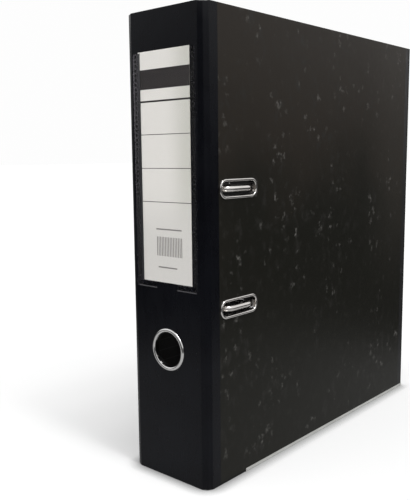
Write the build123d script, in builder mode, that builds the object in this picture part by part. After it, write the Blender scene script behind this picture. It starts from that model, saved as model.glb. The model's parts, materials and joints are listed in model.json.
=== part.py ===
from build123d import *
import os
from math import radians, tan

# Lever arch file for A4 sheets with two holes, closed and standing upright, in millimetres.
#
# X runs through the closed file's thickness, with the front cover at +X. Y runs from the spine
# (-Y, its outer face looks along -Y) to the covers' free edges (+Y). Z is up. The origin is the
# middle of the closed file's foot print, on the surface that it stands on.

os.makedirs("parts", exist_ok=True)

# ---------------------------------------------------------------- driving dimensions
file_height = 318.0
file_depth = 285.0          # spine's outer face to the covers' free edges
file_width = 70.0           # over both covers

board_t = 2.0               # grey board in covers and spine
skin_t = 0.3                # foil or paper on the outside, turned in at the edges
lining_t = 0.3              # paper on the inside
turn_in = 4.0               # border of the turned-in skin that the lining leaves in sight
fold_reach = 5.5            # rounded fold between spine board and cover board, each way
fold_drop = 1.2             # how far the fold's ends lie under the boards' ends
foil_reach = 13.4           # spine's outer face to the end of the foil on each cover

rail_start = 41.0           # spine's outer face to the near end of the edge rails
rail_t = 0.4
rail_height = 2.2

ring_spacing = 80.0         # between the two arches, the standard for filed sheets
ring_height = 161.5         # middle between the arches, above the base
slot_depth = 33.6           # spine's outer face to the middle of the slots in the front cover
slot_length = 39.6          # eyelet's rim, outside
slot_width = 13.2
slot_corner = 6.2
slot_rim = 1.9
slot_rim_height = 1.3
slot_rim_round = 0.8

finger_height = 92.0        # finger ring's centre above the base
finger_outer_r = 14.8
finger_inner_r = 12.3
finger_rim_height = 1.1
finger_rim_roll = 0.9       # from the rim's outside to its crest
finger_lip_height = 0.6     # its inner lip, over the spine

eyelet_wall = 0.5           # sheet that eyelets and finger ring are pressed from
clinch_reach = 1.3          # how far their inside edge is turned over
eyelet_clearance = 0.1

card_width = 46.6
card_bottom = 138.5
card_height = 153.2
card_t = 0.25
card_clearance = 0.06       # round the card, inside its pocket
film_t = 0.2
weld_width = 3.3            # welded border of the pocket, at its sides
weld_foot = 4.6             # welded border under the card
weld_gap = 19.0             # unwelded middle of that border
film_short = 0.6            # how far the card stands out of the pocket's mouth

plate_t = 1.0
plate_corner = 7.0
plate_near = 9.0            # spine's outer face to the base plate's near edge
plate_far = 64.0            # spine's outer face to its far edge
plate_half_height = 61.0
bead_width = 5.0
bead_rise = 0.9
bead_near = 6.0             # the long beads' middles: before the bearings' axis
bead_far = 8.8              # and beyond the posts' line
cross_bead_start = 13.5     # the short beads' middles, from the bearings' axis
cross_bead_length = 15.0

wire_r = 2.0                # arches
hoop_depth = 20.0           # spine's outer face to the wire's bearings
hoop_rise = 4.5             # the wire's axis above the base plate
arch_span = 27.2            # from the bearings' axis to the posts
arch_proud = 3.0            # arches' outside above the front cover
arch_bend = 6.5
leg_bend = 7.0
crank_reach = 12.0
crank_half = 13.0
crank_bend = 4.5
tip_slope = 25.0            # degrees, of the blunt tip and of its seat in the post
tip_depth = 0.7
tip_gap = 0.35
edge_round = 0.6            # share of a thin sheet that its softened edges take
cut_margin = 1.0            # how far cuts run past what they cut

running_gap = 0.07          # radial, shafts in their holes
curl_wall = 1.3             # curled bearing
curl_length = 10.0
curl_middle = 25.0          # from the mechanism's middle to the middle of each bearing

post_r = 2.75
post_bore_r = 1.6
post_bore_depth = 14.0
post_height = 47.4          # above the base plate
post_collar_r = 4.5
post_collar_t = 1.2
post_shank_r = 2.0
post_chamfer = 0.3

pivot_reach = 23.0          # bearings' axis to the lever's pin
pivot_rise = 3.0            # lever's pin above the bearings' axis
roller_r = 3.5
roller_half = 6.9
roller_gap = 0.15           # between roller and crank
roller_chamfer = 0.3
lever_t = 1.2
lever_half = 8.8            # outside of the lever's cheeks, from the middle
lever_bend = 2.0
strap_gap = 0.4             # between roller and strap
strap_before = 6.0          # the strap is level from here before the lever's pin
strap_past = 6.0            # to here past the roller's pin
strap_drop = 2.8            # its drop to the bend over the lever's pin
strap_foot = 1.0            # its end over the lever's pin
handle_half = 12.0
handle_drop = 2.2           # handle's level under the strap's
handle_start = 2.0          # bearings' axis back to where the handle is level
handle_length = 15.0        # bearings' axis back to the handle's lip
handle_lip = 3.5            # the lip's length
handle_lip_rise = 3.0
handle_corner = 8.0
handle_shoulder = 5.0       # length over which the strap widens into the handle
handle_hole_r = 4.6
handle_hole_reach = 6.5     # bearings' axis back to the hole's middle
cheek_depth = 2.8           # cheeks' lower edge under the roller's axis
cheek_lobe = 3.4            # cheeks' width about the roller's axis, each way
cheek_round = 1.2
pin_r = 1.5
pin_head_r = 2.4
pin_head_t = 0.8
ear_gap = 0.35              # between cheeks and the bracket's ears
ear_t = 1.2
ear_r = 4.2

bar_t = 1.2
bar_width = 11.0
bar_half = 53.0
bar_offset = 10.0           # how far its middle stands off from the posts' line
bar_lift = 0.1              # over the posts' collars
bar_lip = 3.2
bar_eye_r = 7.0
bar_slope = 14.0            # along the posts' line, from an eye to the offset middle
bar_bend = 9.0
slide_gap = 0.35            # radial, bar on posts
clip_t = 0.6
clip_width = 9.0
clip_length = 22.0
clip_corner = 2.0
clip_shift = 1.0            # clip's middle from the post's, outwards and towards the spine
clip_tab = 4.0
clip_tab_width = 4.5

rivet_r = 2.0
rivet_head_r = 4.6
rivet_head_t = 0.9
rivet_clinch_r = 3.4
rivet_clinch_t = 0.7
rivet_hollow_r = 1.1
rivet_inset_near = 5.5      # rivets' centres from the base plate's near and far edges
rivet_inset_far = 6.5
rivet_inset_end = 6.5       # and from its ends

# ---------------------------------------------------------------- worked out from them
cover_t = board_t + skin_t + lining_t
spine_y = -file_depth / 2
free_y = file_depth / 2
inner_x = file_width / 2 - cover_t          # inside faces of the covers are at +- this
flat_x = file_width / 2 - fold_reach        # spine board's edges are at +- this
fold_y = spine_y + fold_reach               # cover boards' edges on the spine side
foil_y = spine_y + foil_reach
rail_y = spine_y + rail_start
slot_y = spine_y + slot_depth
barrel_length = slot_length - 2 * slot_rim + 2 * eyelet_wall
barrel_width = slot_width - 2 * slot_rim + 2 * eyelet_wall
barrel_corner = slot_corner - slot_rim + eyelet_wall
ring_z = [ring_height + ring_spacing / 2, ring_height - ring_spacing / 2]

plate_x = -inner_x + plate_t                # base plate's upper face
hoop_x = plate_x + hoop_rise
hoop_y = spine_y + hoop_depth
arch_top = file_width / 2 + arch_proud - wire_r - hoop_x
post_y = hoop_y + arch_span
post_x = plate_x + post_height
plate_y = (plate_near + plate_far) / 2 + spine_y
plate_width = plate_far - plate_near
rivet_spots = [
    (y, ring_height + side * (plate_half_height - rivet_inset_end))
    for y in (spine_y + plate_near + rivet_inset_near, spine_y + plate_far - rivet_inset_far)
    for side in (1, -1)
]


def save(piece, name):
    """Label a finished piece and write it as its own STEP file."""
    piece.part.label = name
    export_step(piece.part, f"parts/{name}.step")


def upright_sheet(x, amount, y_range, z_range, mode=Mode.ADD):
    """A flat sheet parallel to the covers, from x, as thick as amount, which may be negative."""
    with BuildSketch(Plane.YZ.offset(x)) as sheet:
        with Locations(((y_range[0] + y_range[1]) / 2, (z_range[0] + z_range[1]) / 2)):
            Rectangle(y_range[1] - y_range[0], z_range[1] - z_range[0])
    extrude(sheet.sketch, amount=amount, mode=mode)


def cut_slots(side):
    """The two long holes that the arches pass, in a sheet of the front cover."""
    if side > 0:
        with BuildSketch(Plane.YZ.offset(inner_x - cut_margin)) as holes:
            with Locations(*[(slot_y, z) for z in ring_z]):
                RectangleRounded(
                    barrel_length + 2 * eyelet_clearance,
                    barrel_width + 2 * eyelet_clearance,
                    barrel_corner + eyelet_clearance,
                )
        extrude(holes.sketch, amount=cover_t + 2 * cut_margin, mode=Mode.SUBTRACT)


def cut_rivets(side):
    """The four rivet holes in a sheet of the back cover."""
    if side < 0:
        with BuildSketch(Plane.YZ.offset(-inner_x + cut_margin)) as holes:
            with Locations(*rivet_spots):
                Circle(rivet_r + running_gap)
        extrude(holes.sketch, amount=-cover_t - 2 * cut_margin, mode=Mode.SUBTRACT)


def cut_rail_seat(side):
    """Room for the rail's web under the cover."""
    outer = side * (file_width / 2 + cut_margin)
    cut = -side * (cover_t + 2 * cut_margin)
    upright_sheet(outer, cut, (rail_y, free_y + cut_margin), (-cut_margin, rail_t), Mode.SUBTRACT)


# ---------------------------------------------------------------- covers
# Both covers are a grey board in a turned-in skin, lined inside. The skin is the spine's foil near
# the fold and mottled paper on the rest.
def cover_board(side):
    with BuildPart() as board:
        outer = side * (file_width / 2 - skin_t)
        upright_sheet(outer, -side * board_t, (fold_y, free_y - skin_t), (skin_t, file_height - skin_t))
        cut_slots(side)
        cut_rivets(side)
        cut_rail_seat(side)
    return board


def cover_skin(side, near, far, wraps_far_edge):
    """Skin between two depths, turned round the upper and lower edges, and round the free edge."""
    far_wall = skin_t if wraps_far_edge else 0
    far_border = turn_in if wraps_far_edge else 0
    outer = side * file_width / 2
    with BuildPart() as skin:
        upright_sheet(outer, -side * cover_t, (near, far), (0, file_height))
        upright_sheet(
            outer - side * skin_t,
            -side * board_t,
            (near, far - far_wall),
            (skin_t, file_height - skin_t),
            Mode.SUBTRACT,
        )
        upright_sheet(
            side * inner_x,
            side * lining_t,
            (near, far - far_border),
            (turn_in, file_height - turn_in),
            Mode.SUBTRACT,
        )
        cut_slots(side)
        cut_rivets(side)
        cut_rail_seat(side)
    return skin


def cover_lining(side):
    with BuildPart() as lining:
        upright_sheet(
            side * inner_x, side * lining_t, (fold_y, free_y - turn_in), (turn_in, file_height - turn_in)
        )
        cut_slots(side)
        cut_rivets(side)
    return lining


def edge_rail(side):
    """U of thin nickelled steel, pressed on to the cover's lower edge."""
    with BuildPart() as rail:
        with BuildSketch(Plane.XZ.offset(-rail_y)):
            with Locations((side * (file_width - cover_t) / 2, rail_height / 2)):
                Rectangle(cover_t + 2 * rail_t, rail_height)
        extrude(amount=-(free_y - rail_y))
        corners = rail.edges().filter_by(Axis.Y).group_by(Axis.Z)[0]
        fillet(corners, rail_t)
        upright_sheet(
            side * inner_x,
            side * cover_t,
            (rail_y - cut_margin, free_y + cut_margin),
            (rail_t, rail_height + cut_margin),
            Mode.SUBTRACT,
        )
    return rail


for side, name in ((1, "front"), (-1, "back")):
    save(cover_board(side), f"{name}_board")
    save(cover_skin(side, foil_y, free_y, True), f"{name}_cover_paper")
    save(cover_skin(side, fold_y, foil_y, False), f"{name}_cloth_strip")
    save(cover_lining(side), f"{name}_lining")
    save(edge_rail(side), f"{name}_edge_rail")

# ---------------------------------------------------------------- slotted eyelets
# Each is pressed from one sheet: a rounded rim outside, a wall through the cover, and an inside
# edge clinched over the lining.
for z, name in zip(ring_z, ("upper", "lower")):
    with BuildPart() as eyelet:
        outside = Plane.YZ.offset(file_width / 2)
        with BuildSketch(outside):
            with Locations((slot_y, z)):
                RectangleRounded(slot_length, slot_width, slot_corner)
        extrude(amount=slot_rim_height)
        with BuildSketch(Plane.YZ.offset(inner_x - eyelet_wall)):
            with Locations((slot_y, z)):
                RectangleRounded(barrel_length, barrel_width, barrel_corner)
        extrude(amount=cover_t + eyelet_wall)
        with BuildSketch(Plane.YZ.offset(inner_x - eyelet_wall)):
            with Locations((slot_y, z)):
                RectangleRounded(
                    barrel_length + 2 * clinch_reach,
                    barrel_width + 2 * clinch_reach,
                    barrel_corner + clinch_reach,
                )
        extrude(amount=eyelet_wall)
        with BuildSketch(Plane.YZ.offset(inner_x - cut_margin)):
            with Locations((slot_y, z)):
                RectangleRounded(
                    slot_length - 2 * slot_rim, slot_width - 2 * slot_rim, slot_corner - slot_rim
                )
        extrude(amount=cover_t + slot_rim_height + 2 * cut_margin, mode=Mode.SUBTRACT)
        rim_edges = eyelet.faces().sort_by(Axis.X)[-1].edges()
        fillet(rim_edges, slot_rim_round)
    save(eyelet, f"slotted_eyelet_{name}")

# ---------------------------------------------------------------- spine
def spine_sheet(y, amount, half_width, z_range, mode=Mode.ADD):
    """A flat sheet parallel to the spine, from depth y, as thick as amount."""
    with BuildSketch(Plane.XZ.offset(-y)) as sheet:
        with Locations((0, (z_range[0] + z_range[1]) / 2)):
            Rectangle(2 * half_width, z_range[1] - z_range[0])
    extrude(sheet.sketch, amount=-amount, mode=mode)


def cut_finger_hole():
    with BuildSketch(Plane.XZ.offset(-spine_y + cut_margin)) as hole:
        with Locations((0, finger_height)):
            Circle(finger_inner_r + eyelet_wall + eyelet_clearance)
    extrude(hole.sketch, amount=-cover_t - 2 * cut_margin, mode=Mode.SUBTRACT)


with BuildPart() as spine_board:
    spine_sheet(spine_y + skin_t, board_t, flat_x, (skin_t, file_height - skin_t))
    cut_finger_hole()
save(spine_board, "spine_board")

with BuildPart() as spine_cloth:
    spine_sheet(spine_y, cover_t, flat_x, (0, file_height))
    spine_sheet(spine_y + skin_t, board_t, flat_x, (skin_t, file_height - skin_t), Mode.SUBTRACT)
    spine_sheet(
        spine_y + skin_t + board_t, lining_t, flat_x, (turn_in, file_height - turn_in), Mode.SUBTRACT
    )
    cut_finger_hole()
save(spine_cloth, "spine_cloth")

with BuildPart() as spine_lining:
    spine_sheet(spine_y + skin_t + board_t, lining_t, flat_x, (turn_in, file_height - turn_in))
    cut_finger_hole()
save(spine_lining, "spine_lining")

# The folds: foil outside and lining inside, glued together, rounding each corner of the file.
for side, name in ((1, "front"), (-1, "rear")):
    with BuildPart() as hinge_cloth:
        with BuildSketch(Plane.XY.offset(fold_drop)):
            with Locations((side * flat_x, fold_y)):
                Circle(fold_reach)
                Circle(fold_reach - skin_t - lining_t, mode=Mode.SUBTRACT)
            with Locations((side * (flat_x + fold_reach / 2), fold_y - fold_reach / 2)):
                Rectangle(fold_reach, fold_reach, mode=Mode.INTERSECT)
        extrude(amount=file_height - 2 * fold_drop)
    save(hinge_cloth, f"{name}_hinge_cloth")

# Finger ring: a dished rim, a wall through the spine and a clinched inside edge, in one turning.
with BuildPart() as finger_ring:
    with BuildSketch(Plane.XY) as ring_profile:
        with BuildLine():
            inner = finger_inner_r
            outer = finger_outer_r
            inside = spine_y + cover_t
            rim_foot = (outer, spine_y)
            rim_crest = (outer - finger_rim_roll, spine_y - finger_rim_height)
            rim_lip = (inner, spine_y - finger_lip_height)
            ThreePointArc(rim_foot, rim_crest, rim_lip)
            Polyline(
                rim_lip,
                (inner, inside + eyelet_wall),
                (inner + eyelet_wall + clinch_reach, inside + eyelet_wall),
                (inner + eyelet_wall + clinch_reach, inside),
                (inner + eyelet_wall, inside),
                (inner + eyelet_wall, spine_y),
                rim_foot,
            )
        make_face()
    revolve(axis=Axis.Y)
finger_ring.part.position = (0, 0, finger_height)
save(finger_ring, "finger_ring")

# ---------------------------------------------------------------- label and its pocket
card_top = card_bottom + card_height
card_back = spine_y - card_clearance
with BuildPart() as label_card:
    spine_sheet(card_back, -card_t, card_width / 2, (card_bottom, card_top))
save(label_card, "label_card")

# Clear film: a shallow tray over the card, lying on the foil at its welded borders.
pocket_half = card_width / 2 + card_clearance
pocket_depth = card_t + 2 * card_clearance
pocket_floor = card_bottom - card_clearance
mouth = card_top - film_short
with BuildPart() as label_pocket:
    spine_sheet(spine_y, -film_t, pocket_half + weld_width, (pocket_floor - weld_foot, mouth))
    spine_sheet(spine_y, -(pocket_depth + film_t), pocket_half + film_t, (pocket_floor - film_t, mouth))
    spine_sheet(spine_y, -pocket_depth, pocket_half, (pocket_floor, mouth), Mode.SUBTRACT)
    spine_sheet(
        spine_y,
        -film_t,
        weld_gap / 2,
        (pocket_floor - weld_foot - cut_margin, pocket_floor - film_t),
        Mode.SUBTRACT,
    )
save(label_pocket, "label_pocket")


# ---------------------------------------------------------------- mechanism
# Its pieces are placed by (reach, rise): the distance from the wire's bearings towards the posts,
# and the height over the bearings' axis, with z from the mechanism's middle.
def side_point(reach, rise):
    """That place in a sketch on Plane.XY, which looks along the bearings' axis."""
    return (hoop_x + rise, hoop_y + reach)


def side_plane(z):
    return Plane.XY.offset(ring_height + z)


plate_rise = -hoop_rise
with BuildPart() as base_plate:
    with BuildSketch(Plane.YZ.offset(-inner_x)):
        with Locations((plate_y, ring_height)):
            RectangleRounded(plate_width, 2 * plate_half_height, plate_corner)
    extrude(amount=plate_t)
    # Stiffening beads along the two long sides and across the ends.
    with BuildSketch(Plane.YZ.offset(plate_x)):
        with Locations((hoop_y - bead_near, ring_height), (post_y + bead_far, ring_height)):
            SlotOverall(2 * curl_middle, bead_width, rotation=90)
        with Locations(*[(hoop_y + cross_bead_start, z) for z in ring_z]):
            SlotOverall(cross_bead_length, bead_width)
    extrude(amount=bead_rise)
    bead_tops = base_plate.faces().filter_by(Plane.YZ).sort_by(Axis.X)[-4:]
    fillet(bead_tops.edges(), bead_rise * edge_round)
    # Curled bearings for the wire.
    curl_r = wire_r + running_gap + curl_wall
    for end in (1, -1):
        with BuildSketch(side_plane(end * curl_middle - curl_length / 2)):
            with Locations(side_point(0, 0)):
                Circle(curl_r)
            with Locations(side_point(-curl_r + curl_wall / 2, plate_rise / 2)):
                Rectangle(-plate_rise, curl_wall)
        extrude(amount=curl_length)
    # Bracket: two ears for the lever's pin.
    ear_half = lever_half + ear_gap
    for start in (ear_half, -ear_half - ear_t):
        with BuildSketch(side_plane(start)):
            with Locations(side_point(pivot_reach, pivot_rise)):
                Circle(ear_r)
            with Locations(side_point(pivot_reach, (plate_rise + pivot_rise) / 2)):
                Rectangle(pivot_rise - plate_rise, 2 * ear_r)
        extrude(amount=ear_t)
    # Bores: wire, lever pin, posts' shanks and rivets.
    with BuildSketch(side_plane(-plate_half_height)):
        with Locations(side_point(0, 0)):
            Circle(wire_r + running_gap)
        with Locations(side_point(pivot_reach, pivot_rise)):
            Circle(pin_r + running_gap)
    extrude(amount=2 * plate_half_height, mode=Mode.SUBTRACT)
    with BuildSketch(Plane.YZ.offset(-inner_x - cut_margin)):
        with Locations(*[(post_y, z) for z in ring_z]):
            Circle(post_shank_r + running_gap)
        with Locations(*rivet_spots):
            Circle(rivet_r + running_gap)
    extrude(amount=plate_t + bead_rise + 2 * cut_margin, mode=Mode.SUBTRACT)
save(base_plate, "base_plate")

# Four tubular rivets: domed head on the back cover, clinched on the base plate.
with BuildPart() as mechanism_rivets:
    with BuildSketch(Plane.YZ.offset(-file_width / 2)):
        with Locations(*rivet_spots):
            Circle(rivet_head_r)
    extrude(amount=-rivet_head_t)
    fillet(mechanism_rivets.faces().sort_by(Axis.X)[:4].edges(), rivet_head_t * edge_round)
    with BuildSketch(Plane.YZ.offset(-file_width / 2)):
        with Locations(*rivet_spots):
            Circle(rivet_r)
    extrude(amount=cover_t + plate_t + rivet_clinch_t)
    with BuildSketch(Plane.YZ.offset(plate_x)):
        with Locations(*rivet_spots):
            Circle(rivet_clinch_r)
    extrude(amount=rivet_clinch_t)
    fillet(mechanism_rivets.faces().sort_by(Axis.X)[-4:].edges(), rivet_clinch_t * edge_round)
    with BuildSketch(Plane.YZ.offset(-inner_x)):
        with Locations(*rivet_spots):
            Circle(rivet_hollow_r)
    extrude(amount=plate_t + rivet_clinch_t, mode=Mode.SUBTRACT)
save(mechanism_rivets, "mechanism_rivets")

# Posts: tubes with a collar on the plate and a blunt conical seat for the arch's tip.
seat_outer_r = post_r - post_chamfer
seat_depth = (seat_outer_r - post_bore_r) * tan(radians(tip_slope))
for z, name in zip(ring_z, ("upper", "lower")):
    with BuildPart() as post:
        with BuildSketch(Plane.XY) as post_profile:
            Polygon(
                (-plate_t, 0),
                (-plate_t, post_shank_r),
                (0, post_shank_r),
                (0, post_collar_r),
                (post_collar_t, post_collar_r),
                (post_collar_t, post_r),
                (post_height - post_chamfer, post_r),
                (post_height, seat_outer_r),
                (post_height - seat_depth, post_bore_r),
                (post_height - post_bore_depth, post_bore_r),
                (post_height - post_bore_depth, 0),
                align=None,
            )
        revolve(axis=Axis.X)
    post.part.position = (plate_x, post_y, z)
    save(post, f"post_{name}")

# The wire: tip, arch, leg, bearing, crank, and the same again back to the lower tip.
tip_rise = post_x + tip_gap - hoop_x
half = ring_spacing / 2
route = [
    (arch_span, tip_rise, half),
    (arch_span, arch_top, half),
    (0, arch_top, half),
    (0, 0, half),
    (0, 0, crank_half),
    (crank_reach, 0, crank_half),
]
route += [(reach, rise, -z) for reach, rise, z in reversed(route)]
bends = [arch_bend, arch_bend, leg_bend, crank_bend, crank_bend]
wire_points = [(hoop_x + rise, hoop_y + reach, ring_height + z) for reach, rise, z in route]
with BuildPart() as arch_bow:
    with BuildLine():
        wire_path = FilletPolyline(*wire_points, radius=bends + bends[::-1])
    with BuildSketch(Plane(origin=wire_path @ 0, z_dir=wire_path % 0)):
        Circle(wire_r)
    sweep()
    for z in ring_z:
        tip = Plane(origin=(post_x + tip_gap, post_y, z), z_dir=(-1, 0, 0))
        with BuildSketch(tip):
            Circle(wire_r)
        extrude(amount=tip_depth, taper=90 - tip_slope)
save(arch_bow, "arch_bow")

# Lever: a bent strap with two cheeks under it, pressed from one sheet.
roller_reach = crank_reach
roller_rise = wire_r + roller_gap + roller_r
strap_rise = roller_rise + roller_r + strap_gap + lever_t / 2
handle_rise = strap_rise - handle_drop
level_start = pivot_reach - strap_before
level_end = roller_reach - strap_past
foot_reach = pivot_reach + ear_r - lever_t / 2
strap_line = [
    (foot_reach, pivot_rise + strap_foot),
    (pivot_reach + strap_foot, strap_rise - strap_drop),
    (level_start, strap_rise),
    (level_end, strap_rise),
    (-handle_start, handle_rise),
    (handle_lip - handle_length, handle_rise),
    (-handle_length, handle_rise + handle_lip_rise),
]
cheek_outline = [
    (foot_reach, pivot_rise + strap_foot),
    (pivot_reach + strap_foot, strap_rise - strap_drop),
    (level_start, strap_rise),
    (level_end, strap_rise),
    (0, handle_rise),
    (handle_start, handle_rise - cheek_round),
    (roller_reach - cheek_lobe, roller_rise - cheek_depth),
    (roller_reach + cheek_lobe, roller_rise - cheek_depth),
    (pivot_reach - ear_r, pivot_rise - cheek_round),
    (pivot_reach - cheek_round, pivot_rise - ear_r + lever_t / 2),
    (pivot_reach + cheek_round, pivot_rise - ear_r + lever_t / 2),
    (foot_reach, pivot_rise - cheek_round),
]
with BuildPart() as lever:
    with BuildSketch(side_plane(-handle_half)):
        with BuildLine():
            FilletPolyline(*[side_point(*place) for place in strap_line], radius=lever_bend)
        trace(line_width=lever_t)
    extrude(amount=2 * handle_half)
    # Seen from above: narrow over the cheeks, widening into a handle with a rounded end.
    with BuildSketch(Plane.YZ.offset(hoop_x)) as plan:
        far_end = hoop_y + pivot_reach + 2 * ear_r
        near_end = hoop_y - handle_length - lever_t / 2
        Polygon(
            (far_end, ring_height + lever_half),
            (hoop_y + handle_shoulder, ring_height + lever_half),
            (hoop_y, ring_height + handle_half),
            (near_end, ring_height + handle_half),
            (near_end, ring_height - handle_half),
            (hoop_y, ring_height - handle_half),
            (hoop_y + handle_shoulder, ring_height - lever_half),
            (far_end, ring_height - lever_half),
            align=None,
        )
        fillet(plan.vertices().group_by(Axis.X)[0], handle_corner)
        with Locations((hoop_y - handle_hole_reach, ring_height)):
            Circle(handle_hole_r, mode=Mode.SUBTRACT)
    extrude(amount=arch_top, mode=Mode.INTERSECT)
    for start in (lever_half - lever_t, -lever_half):
        with BuildSketch(side_plane(start)) as cheek:
            Polygon(*[side_point(*place) for place in cheek_outline], align=None)
            fillet([v for v in cheek.vertices() if v.X < hoop_x + roller_rise], cheek_round)
        extrude(amount=lever_t)
    with BuildSketch(side_plane(-lever_half)):
        with Locations(side_point(pivot_reach, pivot_rise), side_point(roller_reach, roller_rise)):
            Circle(pin_r + running_gap)
    extrude(amount=2 * lever_half, mode=Mode.SUBTRACT)
save(lever, "lever")


def headed_pin(reach, rise, half_length):
    """A pin along the bearings' axis with a rivet head at each end."""
    with BuildPart() as pin:
        with BuildSketch(side_plane(-half_length)):
            with Locations(side_point(reach, rise)):
                Circle(pin_r)
        extrude(amount=2 * half_length)
        for start, amount in ((half_length, pin_head_t), (-half_length, -pin_head_t)):
            with BuildSketch(side_plane(start)):
                with Locations(side_point(reach, rise)):
                    Circle(pin_head_r)
            extrude(amount=amount)
        ends = pin.faces().filter_by(Plane.XY).sort_by(Axis.Z)
        fillet(ends[0].edges() + ends[-1].edges(), pin_head_t * edge_round)
    return pin


save(headed_pin(pivot_reach, pivot_rise, ear_half + ear_t + running_gap), "lever_pin")
save(headed_pin(roller_reach, roller_rise, lever_half + running_gap), "roller_pin")

with BuildPart() as roller:
    with BuildSketch(side_plane(-roller_half)):
        with Locations(side_point(roller_reach, roller_rise)):
            Circle(roller_r)
            Circle(pin_r + running_gap, mode=Mode.SUBTRACT)
    extrude(amount=2 * roller_half)
    chamfer(roller.edges().filter_by(GeomType.CIRCLE), roller_chamfer)
save(roller, "roller")

# Compressor: a bar with an upturned lip that slides on both posts, its middle clear of the lever.
bar_x = plate_x + post_collar_t + bar_lift
bar_line = [
    (0, bar_half),
    (0, half - bar_eye_r),
    (bar_offset, half - bar_eye_r - bar_slope),
    (bar_offset, -(half - bar_eye_r - bar_slope)),
    (0, -(half - bar_eye_r)),
    (0, -bar_half),
]


def bar_path(shift):
    return [(post_y + reach + shift, ring_height + z) for reach, z in bar_line]


with BuildPart() as compressor_bar:
    with BuildSketch(Plane.YZ.offset(bar_x)):
        with BuildLine():
            FilletPolyline(*bar_path(0), radius=bar_bend)
        trace(line_width=bar_width)
        with Locations(*[(post_y, z) for z in ring_z]):
            Circle(bar_eye_r)
            Circle(post_r + slide_gap, mode=Mode.SUBTRACT)
    extrude(amount=bar_t)
    with BuildSketch(Plane.YZ.offset(bar_x)):
        with BuildLine():
            FilletPolyline(*bar_path((bar_width - bar_t) / 2), radius=bar_bend)
        trace(line_width=bar_t)
        with Locations(*[(post_y, z) for z in ring_z]):
            Circle(post_r + slide_gap, mode=Mode.SUBTRACT)
    extrude(amount=bar_lip)
save(compressor_bar, "compressor_bar")

# Sprung clips that grip the posts, lying on the bar, each with a tab for the thumb.
clip_x = bar_x + bar_t
clip_y = post_y - clip_shift
for z, name, end in zip(ring_z, ("upper", "lower"), (1, -1)):
    with BuildPart() as clip:
        with BuildSketch(Plane.YZ.offset(clip_x)):
            with Locations((clip_y, z + end * clip_shift)):
                RectangleRounded(clip_width, clip_length, clip_corner)
            with Locations((post_y, z)):
                Circle(post_r + slide_gap, mode=Mode.SUBTRACT)
        extrude(amount=clip_t)
        tab_z = z + end * (clip_shift + clip_length / 2 - clip_t / 2)
        with Locations((clip_x + clip_tab / 2, clip_y, tab_z)):
            Box(clip_tab, clip_tab_width, clip_t)
    save(clip, f"compressor_clip_{name}")
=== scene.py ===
# %% [markdown]
# # A lever arch file in its finishes
#
# The file itself is already built: boards, wire arches, lever, eyelets and rails stand in the frame
# at their real size. What is left for this lesson is how it looks: near-black foil on the spine,
# mottled paper on the covers, bright metal, a printed card in a clear welded pocket, and the two
# soft folds that no solid can show as they bend.

# %% Load the frame
import json
from math import cos, pi, radians, sin

import bmesh
import bpy
from mathutils import Matrix, Vector


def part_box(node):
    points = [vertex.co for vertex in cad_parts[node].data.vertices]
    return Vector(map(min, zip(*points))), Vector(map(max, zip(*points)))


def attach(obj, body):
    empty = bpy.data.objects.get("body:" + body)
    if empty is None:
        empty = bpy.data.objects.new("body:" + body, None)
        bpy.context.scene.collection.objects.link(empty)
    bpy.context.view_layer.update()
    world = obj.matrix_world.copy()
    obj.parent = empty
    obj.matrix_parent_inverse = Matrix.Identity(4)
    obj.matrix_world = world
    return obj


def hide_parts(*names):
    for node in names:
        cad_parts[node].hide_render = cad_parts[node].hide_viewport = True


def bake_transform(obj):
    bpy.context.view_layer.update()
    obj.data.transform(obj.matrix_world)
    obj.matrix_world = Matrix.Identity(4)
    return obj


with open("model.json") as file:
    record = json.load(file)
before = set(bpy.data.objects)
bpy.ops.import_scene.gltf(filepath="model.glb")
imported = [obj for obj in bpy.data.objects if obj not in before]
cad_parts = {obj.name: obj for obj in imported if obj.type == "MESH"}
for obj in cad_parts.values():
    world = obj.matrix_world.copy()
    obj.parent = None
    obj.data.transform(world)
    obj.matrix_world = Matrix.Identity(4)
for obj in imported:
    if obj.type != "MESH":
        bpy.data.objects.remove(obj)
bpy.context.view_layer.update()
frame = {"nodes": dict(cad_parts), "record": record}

MM = 0.001

# %% [markdown]
# ## The view
#
# The file stands upright on a table, and the eye is a little above its label, off its right-hand
# corner, so that the spine and the front cover are both in sight. A lens a little longer than a
# normal one keeps the spine's lines nearly parallel. The camera goes in first, because it settles
# how fine every finish has to be.

# %% Camera
LENS = 49.7                     # mm, on a sensor 36 mm along its longer side
CAMERA_PLACE = (323.5 * MM, -469.3 * MM, 222.5 * MM)
CAMERA_TURN = radians(41.49)    # from straight in front of the spine towards the front cover
CAMERA_DIP = radians(7.69)
CAMERA_TILT = radians(-0.62)


def camera_matrix():
    """The camera's axes from its turn, dip and tilt, and its place."""
    back = Vector(
        (
            sin(CAMERA_TURN) * cos(CAMERA_DIP),
            -cos(CAMERA_TURN) * cos(CAMERA_DIP),
            sin(CAMERA_DIP),
        )
    )
    level = (-back).cross(Vector((0, 0, 1))).normalized()
    upright = level.cross(-back)
    right = cos(CAMERA_TILT) * level + sin(CAMERA_TILT) * upright
    up = cos(CAMERA_TILT) * upright - sin(CAMERA_TILT) * level
    turn = Matrix((right, up, back)).transposed().to_4x4()
    return Matrix.Translation(CAMERA_PLACE) @ turn


bpy.ops.object.select_all(action="DESELECT")
bpy.ops.object.camera_add()
camera = bpy.context.object
camera.name = "camera"
camera.data.lens = LENS
camera.matrix_world = camera_matrix()
bpy.context.scene.camera = camera
print("camera looks down", round(CAMERA_DIP * 180 / pi, 1), "degrees")

# %% [markdown]
# ## Writing shaders as sums
#
# A finish is a small net of nodes. Drawn by hand it is a picture; written in code it soon becomes
# a list of links that nobody can read. So one class stands for a node's output and lets Python's
# own signs add the Math nodes, and one method adds every other kind of node. A mask is such an
# output that is 1 where something holds and 0 elsewhere, so & and | join two masks.

# %% A node's output that can be reckoned with


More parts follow.
